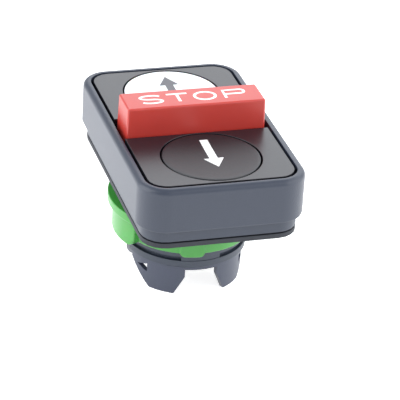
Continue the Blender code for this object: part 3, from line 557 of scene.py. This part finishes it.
def arc(centre_x, centre_y, radius_x, radius_y, start, end, steps=ARC_STEPS):
    """Points on part of an ellipse, between two angles in degrees."""
    turns = [math.radians(start + (end - start) * step / steps) for step in range(steps + 1)]
    return [(centre_x + radius_x * math.cos(turn), centre_y + radius_y * math.sin(turn))
            for turn in turns]


def letter_strokes(letter, width, height):
    """Centre lines of one capital letter, S, T, O or P, in a box of this width and height."""
    x, y = width / 2, height / 2
    if letter == "S":
        return [arc(0, y / 2, x, y / 2, S_OPENING, 270)
                + arc(0, -y / 2, x, y / 2, 90, S_OPENING - 180)[1:]]
    if letter == "T":
        return [[(-x, y), (x, y)], [(0, y), (0, -y)]]
    if letter == "O":
        return [arc(0, 0, x, y, 0, 360, FULL_TURN_STEPS)]
    bowl = arc(x - y / 2, y / 2, y / 2, y / 2, 90, -90)
    return [[(-x, -y), (-x, y)] + bowl + [(-x, 0.0)]]


def stroke_mesh(points, closed):
    """Mesh of one round pen stroke along points."""
    line = bpy.data.curves.new("stroke", "CURVE")
    line.dimensions = "3D"
    line.bevel_depth = sizes().letter_stroke / 2
    line.bevel_resolution = PEN_STEPS
    line.use_fill_caps = True
    pen = line.splines.new("POLY")
    points = points[:-1] if closed else points
    pen.points.add(len(points) - 1)
    for place, (across, along) in zip(pen.points, points):
        place.co = (across, along, 0.0, 1.0)
    pen.use_cyclic_u = closed
    holder = bpy.data.objects.new("stroke", line)
    mesh = bpy.data.meshes.new_from_object(holder)
    bpy.data.objects.remove(holder)
    bpy.data.curves.remove(line)
    return mesh


def slim_hooks(form):
    """Make the hooks thinner, upright and a little longer, and narrow the front right one and its
    twin."""
    for point in form.verts:
        drop = BAND_BOTTOM - point.co.z
        radius = point.co.xy.length
        outer = HOOK_RADIUS - HOOK_TAPER * max(0.0, drop - HOOK_TAPER_DROP)
        inner = outer - HOOK_WALL_MARGIN * HOOK_CAD_WALL
        if drop < -MERGE_DISTANCE or not inner < radius < outer + HOOK_BAND_STEP:
            continue
        if radius < outer - HOOK_CAD_WALL / 2:
            radius += HOOK_CAD_WALL - sizes().hook_wall
        radius += HOOK_RADIUS - outer
        turn = math.degrees(math.atan2(point.co.x, -point.co.y))
        near = turn if abs(turn) < 90 else math.copysign(180 - abs(turn), -turn)
        if 0 < near < HOOK_SIDE_TURN:
            shift = HOOK_NARROWING * (HOOK_SIDE_TURN - near) / (HOOK_SIDE_TURN - HOOK_FRONT_TURN)
            turn += math.copysign(shift, turn) if abs(turn) < 90 else -math.copysign(shift, turn)
        turn = math.radians(turn)
        point.co = (radius * math.sin(turn), -radius * math.cos(turn),
                    BAND_BOTTOM - drop * HOOK_STRETCH)


def coil_form(rod_x):
    """Round wire wound into a compression spring."""
    low = SPRING_LOW.z + WIRE_RADIUS
    rise = SPRING_HIGH.z - SPRING_LOW.z - 2 * WIRE_RADIUS
    form = bmesh.new()
    bmesh.ops.create_circle(form, segments=WIRE_STEPS, radius=WIRE_RADIUS)
    bmesh.ops.rotate(form, cent=(0, 0, 0), matrix=Matrix.Rotation(math.pi / 2, 3, "X"),
                     verts=form.verts)
    bmesh.ops.translate(form, vec=(SPRING_RADIUS, 0, low), verts=form.verts)
    steps = SPRING_TURNS * COIL_STEPS
    bmesh.ops.spin(form, geom=form.verts[:] + form.edges[:], cent=(0, 0, 0), axis=(0, 0, 1),
                   dvec=(0, 0, rise / steps), angle=2 * math.pi * SPRING_TURNS, steps=steps)
    bmesh.ops.holes_fill(form, edges=[edge for edge in form.edges if edge.is_boundary])
    bmesh.ops.translate(form, vec=(rod_x, 0, 0), verts=form.verts)
    return form


class BuildBezel(bpy.types.Operator):
    """Build the deep rounded frame round the face"""

    bl_idname = "push_button.bezel"
    bl_label = "Bezel frame"

    def execute(self, context):
        form = slab_form(BEZEL_LOW, BEZEL_HIGH, BEZEL_CORNER)
        bevel(form, level_edges(form, BEZEL_HIGH.z), sizes().bezel_round, BEZEL_EDGE_STEPS)
        bevel(form, level_edges(form, BEZEL_LOW.z), BEZEL_FOOT_CHAMFER, SMALL_EDGE_STEPS)
        rims = []
        for height, rim in ((BEZEL_HIGH.z, BEZEL_WALL - sizes().bezel_round),
                            (BEZEL_LOW.z, BEZEL_WALL - BEZEL_FOOT_CHAMFER)):
            lid = level_face(form, height)
            bmesh.ops.inset_region(form, faces=[lid], thickness=rim, use_even_offset=True)
            rims += lid.edges[:]
            bmesh.ops.delete(form, geom=[lid], context="FACES_ONLY")
        bmesh.ops.bridge_loops(form, edges=rims)
        inner = [edge for edge in rims if edge.is_valid and edge.verts[0].co.z > FACE_TOP / 2]
        bevel(form, inner, sizes().moulded_edge, SMALL_EDGE_STEPS)
        make_piece(form, "bezel_shell", bezel_plastic(), "housing", ["bezel_frame"])
        return {"FINISHED"}


class BuildFacePlates(bpy.types.Operator):
    """Build the two halves of the face, one on each side of the bar"""

    bl_idname = "push_button.face_plates"
    bl_label = "Face plates"

    def execute(self, context):
        edge_round = sizes().moulded_edge * PLATE_EDGE_SHARE
        for side in ("upper", "lower"):
            node = side + "_face_plate"
            make_piece(rounded_copy(node, edge_round), side + "_plate_moulding",
                       plate_plastic(), "housing", [node])
        return {"FINISHED"}


class BuildHousing(bpy.types.Operator):
    """Build the base housing with its ribbed barrel, and the gasket below it"""

    bl_idname = "push_button.housing"
    bl_label = "Housing and gasket"

    def execute(self, context):
        make_piece(rounded_copy("base_housing", sizes().fine_edge), "housing_moulding",
                   housing_plastic(), "housing", ["base_housing"])
        edge_round = sizes().moulded_edge * GASKET_EDGE_SHARE
        make_piece(rounded_copy("panel_gasket", edge_round), "gasket_sheet",
                   seal_rubber(), "housing", ["panel_gasket"])
        return {"FINISHED"}


class BuildCaps(bpy.types.Operator):
    """Build the two dished caps and their arrows"""

    bl_idname = "push_button.caps"
    bl_label = "Flush caps"

    def execute(self, context):
        white = ink("white mark", colours().white_ink)
        grey = ink("dark grey mark", colours().grey_ink)
        make_piece(turned_form(cap_outline(), -BUTTON_Y), "black_cap", black_cap_plastic(),
                   "down_button", ["down_cap"])
        make_piece(turned_form(cap_outline(), BUTTON_Y), "white_cap", white_cap_plastic(),
                   "up_button", ["up_cap"])
        make_piece(arrow_form(DOWN_ARROW_TIP_Y, -1, -BUTTON_Y), "down_arrow", white,
                   "down_button")
        make_piece(arrow_form(UP_ARROW_TIP_Y, 1, BUTTON_Y), "up_arrow", grey,
                   "up_button")
        return {"FINISHED"}


class BuildStopBar(bpy.types.Operator):
    """Build the projecting bar, slightly tapered and hollow underneath"""

    bl_idname = "push_button.stop_bar"
    bl_label = "Stop bar"

    def execute(self, context):
        form = bmesh.new()
        bmesh.ops.create_cube(form, size=1.0)
        bmesh.ops.scale(form, vec=BAR_HIGH - BAR_LOW, verts=form.verts)
        bmesh.ops.translate(form, vec=(BAR_HIGH + BAR_LOW) / 2, verts=form.verts)
        upper = [point for point in form.verts if point.co.z > FACE_TOP]
        narrow = BAR_TOP_DEPTH / (BAR_HIGH.y - BAR_LOW.y)
        bmesh.ops.scale(form, vec=(BAR_TOP_LENGTH_SHARE, narrow, 1.0), verts=upper)
        foot = level_face(form, BAR_LOW.z)
        bmesh.ops.inset_region(form, faces=[foot], thickness=BAR_WALL, use_even_offset=True)
        raised = bmesh.ops.extrude_face_region(form, geom=[foot])
        roof = [piece for piece in raised["geom"] if isinstance(piece, bmesh.types.BMVert)]
        bmesh.ops.translate(form, vec=(0, 0, BAR_POCKET_HEIGHT), verts=roof)
        bmesh.ops.delete(form, geom=[foot], context="FACES_ONLY")
        half_y = BAR_TOP_DEPTH / 2 - MERGE_DISTANCE
        outer = [edge for edge in form.edges
                 if all(abs(end.co.y) > half_y for end in edge.verts)
                 and not all(end.co.z < FACE_TOP - BAR_HIDDEN_DEPTH for end in edge.verts)]
        bevel(form, outer, sizes().bar_edge, BAR_EDGE_STEPS)
        make_piece(form, "bar_moulding", red_plastic(), "stop_button", ["stop_bar"])
        return {"FINISHED"}


class BuildLetters(bpy.types.Operator):
    """Build the generic function word on the bar from plain pen strokes"""

    bl_idname = "push_button.letters"
    bl_label = "Letters"

    def execute(self, context):
        stroke = sizes().letter_stroke
        width = sizes().letter_width - stroke
        height = sizes().letter_height - stroke
        form = bmesh.new()
        for letter, centre_x in LETTER_CENTRES.items():
            for points in letter_strokes(letter, width, height):
                mesh = stroke_mesh(points, letter == "O")
                mesh.transform(Matrix.Translation((centre_x, 0.0, 0.0)))
                form.from_mesh(mesh)
                bpy.data.meshes.remove(mesh)
        bmesh.ops.scale(form, vec=(1.0, 1.0, 2 * PRINT_LIFT / stroke), verts=form.verts)
        bmesh.ops.translate(form, vec=(0, 0, BAR_HIGH.z), verts=form.verts)
        make_piece(form, "bar_letters", ink("white mark", colours().white_ink), "stop_button")
        return {"FINISHED"}


class BuildLockRing(bpy.types.Operator):
    """Build the green ring with its flange, ears and tab"""

    bl_idname = "push_button.lock_ring"
    bl_label = "Lock ring"

    def execute(self, context):
        make_piece(rounded_copy("lock_ring", sizes().ring_edge), "lock_ring_moulding",
                   green_plastic(), "lock", ["lock_ring"])
        return {"FINISHED"}


class BuildHooks(bpy.types.Operator):
    """Build the collar with the four hooks that the contact block holder turns onto"""

    bl_idname = "push_button.hooks"
    bl_label = "Bayonet hooks"

    def execute(self, context):
        make_piece(rounded_copy("bayonet_collar", sizes().fine_edge, slim_hooks), "hook_collar",
                   hook_plastic(), "housing", ["bayonet_collar"])
        return {"FINISHED"}


class BuildInnerPieces(bpy.types.Operator):
    """Build the feet and guide, and finish the carriers, seal and washers inside"""

    bl_idname = "push_button.inner_pieces"
    bl_label = "Inner pieces"

    def execute(self, context):
        bodies = {"down_foot": "down_button", "up_foot": "up_button", "stop_foot": "stop_button",
                  "rod_guide": "housing"}
        for node, body in bodies.items():
            make_piece(rounded_copy(node, sizes().moulded_edge), node + "_moulding",
                       acetal_plastic(), body, [node])
        dress(acetal_plastic(), "down_carrier", "up_carrier", "stop_carrier")
        dress(seal_rubber(), "stem_seal")
        dress(drawn_steel(), "down_spring_seat", "up_spring_seat", "stop_spring_seat")
        return {"FINISHED"}


class BuildSprings(bpy.types.Operator):
    """Build the three return springs"""

    bl_idname = "push_button.springs"
    bl_label = "Return springs"

    def execute(self, context):
        rods = {"down": ("down_button_press", -SIDE_ROD_X), "up": ("up_button_press", SIDE_ROD_X),
                "stop": ("stop_bar_press", 0.0)}
        for side, (joint, rod_x) in rods.items():
            coil = make_piece(coil_form(rod_x), side + "_coil", drawn_steel(), "housing",
                              [side + "_spring"])
            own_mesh(coil)
        return {"FINISHED"}


def aim(thing, place, target):
    """Stand a lamp at a place and turn it to a target."""
    thing.location = place
    thing.rotation_mode = "QUATERNION"
    thing.rotation_quaternion = (Vector(target) - Vector(place)).to_track_quat("-Z", "Y")


def add_lamp(name, azimuth, elevation, distance, width, height, watts):
    """Soft box that faces the object, with values as in SOFT_BOXES."""
    lamp = bpy.data.lights.new(name, "AREA")
    lamp.shape = "RECTANGLE"
    lamp.size = width
    lamp.size_y = height
    lamp.energy = watts
    lamp.color = COOL_WHITE
    holder = bpy.data.objects.new(name, lamp)
    bpy.context.scene.collection.objects.link(holder)
    turn, rise = math.radians(azimuth), math.radians(elevation)
    away = Vector((math.sin(turn) * math.cos(rise), -math.cos(turn) * math.cos(rise),
                   math.sin(rise)))
    aim(holder, away * distance, (0, 0, 0))


def add_camera():
    """Camera at the photograph's place, with the photograph's roll."""
    turn, rise = CAMERA_AZIMUTH, CAMERA_ELEVATION
    back = Vector((math.sin(turn) * math.cos(rise), -math.cos(turn) * math.cos(rise),
                   math.sin(rise)))
    level = (-back).cross(Vector((0, 0, 1))).normalized()
    upright = level.cross(-back)
    right = level * math.cos(CAMERA_ROLL) + upright * math.sin(CAMERA_ROLL)
    up = upright * math.cos(CAMERA_ROLL) - level * math.sin(CAMERA_ROLL)
    lens = bpy.data.cameras.new("camera")
    lens.lens = CAMERA_LENS
    lens.sensor_width = FILM_WIDTH
    camera = bpy.data.objects.new("camera", lens)
    bpy.context.scene.collection.objects.link(camera)
    place = back * CAMERA_DISTANCE + right * CAMERA_RIGHT + up * CAMERA_UP
    place.z += FACE_TOP
    axes = Matrix((right, up, back)).transposed()
    camera.matrix_world = Matrix.Translation(place) @ axes.to_4x4()
    bpy.context.scene.camera = camera


def add_world():
    """White surroundings for the eye, cool white ones for mirrored views, and a softer cool white
    that lights the object."""
    world = bpy.data.worlds.new("studio")
    world.use_nodes = True
    bpy.context.scene.world = world
    tree = world.node_tree
    tree.nodes.clear()
    cool = (*COOL_WHITE, 1.0)
    path = add_node(tree, "ShaderNodeLightPath")
    light = add_node(tree, "ShaderNodeBackground", values={"Color": cool, "Strength": AMBIENT})
    mirrored = add_node(tree, "ShaderNodeBackground", values={"Color": cool, "Strength": 1.0})
    white = add_node(tree, "ShaderNodeBackground", values={"Color": (*WHITE, 1.0), "Strength": 1.0})
    seen = add_node(tree, "ShaderNodeMath", settings={"operation": "MAXIMUM"}, links={
        0: path.outputs["Is Camera Ray"], 1: path.outputs["Is Transmission Ray"]})
    first = add_node(tree, "ShaderNodeMixShader", links={
        0: path.outputs["Is Glossy Ray"], 1: light.outputs["Background"],
        2: mirrored.outputs["Background"]})
    mix = add_node(tree, "ShaderNodeMixShader", links={
        0: seen.outputs["Value"], 1: first.outputs["Shader"], 2: white.outputs["Background"]})
    add_node(tree, "ShaderNodeOutputWorld", links={"Surface": mix.outputs["Shader"]})


def floor_paper():
    """Matt white paper. The eye sees it lifted to white, and the object's shadow stays on it. A
    mirrored view of it is brighter than white."""
    material, shader = new_material("matt white paper")
    tree = material.node_tree
    place = add_node(tree, "ShaderNodeTexCoord")
    fibres = add_node(tree, "ShaderNodeTexNoise",
                      values={"Scale": PAPER_FIBRES_PER_METRE, "Detail": PAPER_DETAIL},
                      links={"Vector": place.outputs["Object"]})
    bump = add_node(tree, "ShaderNodeBump", values={"Distance": PAPER_RELIEF},
                    links={"Height": fibres.outputs["Fac"]})
    path = add_node(tree, "ShaderNodeLightPath")
    sheen = add_node(tree, "ShaderNodeMath", settings={"operation": "MULTIPLY"},
                     values={1: FLOOR_SHEEN}, links={0: path.outputs["Is Glossy Ray"]})
    lift = add_node(tree, "ShaderNodeMath", settings={"operation": "MULTIPLY_ADD"},
                    values={1: FLOOR_LIFT},
                    links={0: path.outputs["Is Camera Ray"], 2: sheen.outputs["Value"]})
    tree.links.new(bump.outputs["Normal"], shader.inputs["Normal"])
    tree.links.new(lift.outputs["Value"], shader.inputs["Emission Strength"])
    shader.inputs["Base Color"].default_value = [*colours().floor, 1.0]
    shader.inputs["Emission Color"].default_value = (*WHITE, 1.0)
    shader.inputs["Roughness"].default_value = PAPER_ROUGHNESS
    return material


class BuildStage(bpy.types.Operator):
    """Build the pale floor, the soft lamps, the white surroundings and the camera"""

    bl_idname = "push_button.stage"
    bl_label = "Stage"

    def execute(self, context):
        form = bmesh.new()
        bmesh.ops.create_grid(form, x_segments=1, y_segments=1, size=FLOOR_REACH)
        lowest = BAND_BOTTOM - (BAND_BOTTOM - CAD_BOX[0].z) * HOOK_STRETCH
        bmesh.ops.translate(form, vec=(0, 0, lowest), verts=form.verts)
        mesh = bpy.data.meshes.new("floor")
        form.to_mesh(mesh)
        form.free()
        mesh.materials.append(floor_paper())
        floor = bpy.data.objects.new("floor", mesh)
        bpy.context.scene.collection.objects.link(floor)
        for soft_box in SOFT_BOXES:
            add_lamp(*soft_box)
        add_world()
        add_camera()
        context.scene.view_settings.view_transform = "Standard"
        return {"FINISHED"}


class PushButtonPanel(bpy.types.Panel):
    """Sidebar panel with the sizes, the colours and one button for each piece"""

    bl_idname = "VIEW3D_PT_push_button"
    bl_label = "Double push button head"
    bl_space_type = "VIEW_3D"
    bl_region_type = "UI"
    bl_category = "Push button"

    def draw(self, context):
        for step in STEPS:
            self.layout.operator(step.bl_idname)
        for group in (context.scene.push_button_sizes, context.scene.push_button_colours):
            column = self.layout.column()
            for name in group.bl_rna.properties.keys():
                if name not in ("rna_type", "name"):
                    column.prop(group, name)


STEPS = (BuildStage, BuildBezel, BuildFacePlates, BuildHousing, BuildCaps, BuildStopBar,
         BuildLetters, BuildLockRing, BuildHooks, BuildInnerPieces, BuildSprings)
CLASSES = (PushButtonSizes, PushButtonColours, *STEPS, PushButtonPanel)


def register():
    """Add the classes and the settings to Blender."""
    for item in CLASSES:
        bpy.utils.register_class(item)
    bpy.types.Scene.push_button_sizes = bpy.props.PointerProperty(type=PushButtonSizes)
    bpy.types.Scene.push_button_colours = bpy.props.PointerProperty(type=PushButtonColours)


def unregister():
    """Take the classes and the settings out of Blender."""
    del bpy.types.Scene.push_button_colours
    del bpy.types.Scene.push_button_sizes
    for item in reversed(CLASSES):
        bpy.utils.unregister_class(item)


def main():
    """Build everything in order."""
    register()
    for step in STEPS:
        group, name = step.bl_idname.split(".")
        getattr(getattr(bpy.ops, group), name)()


if __name__ == "__main__":
    main()
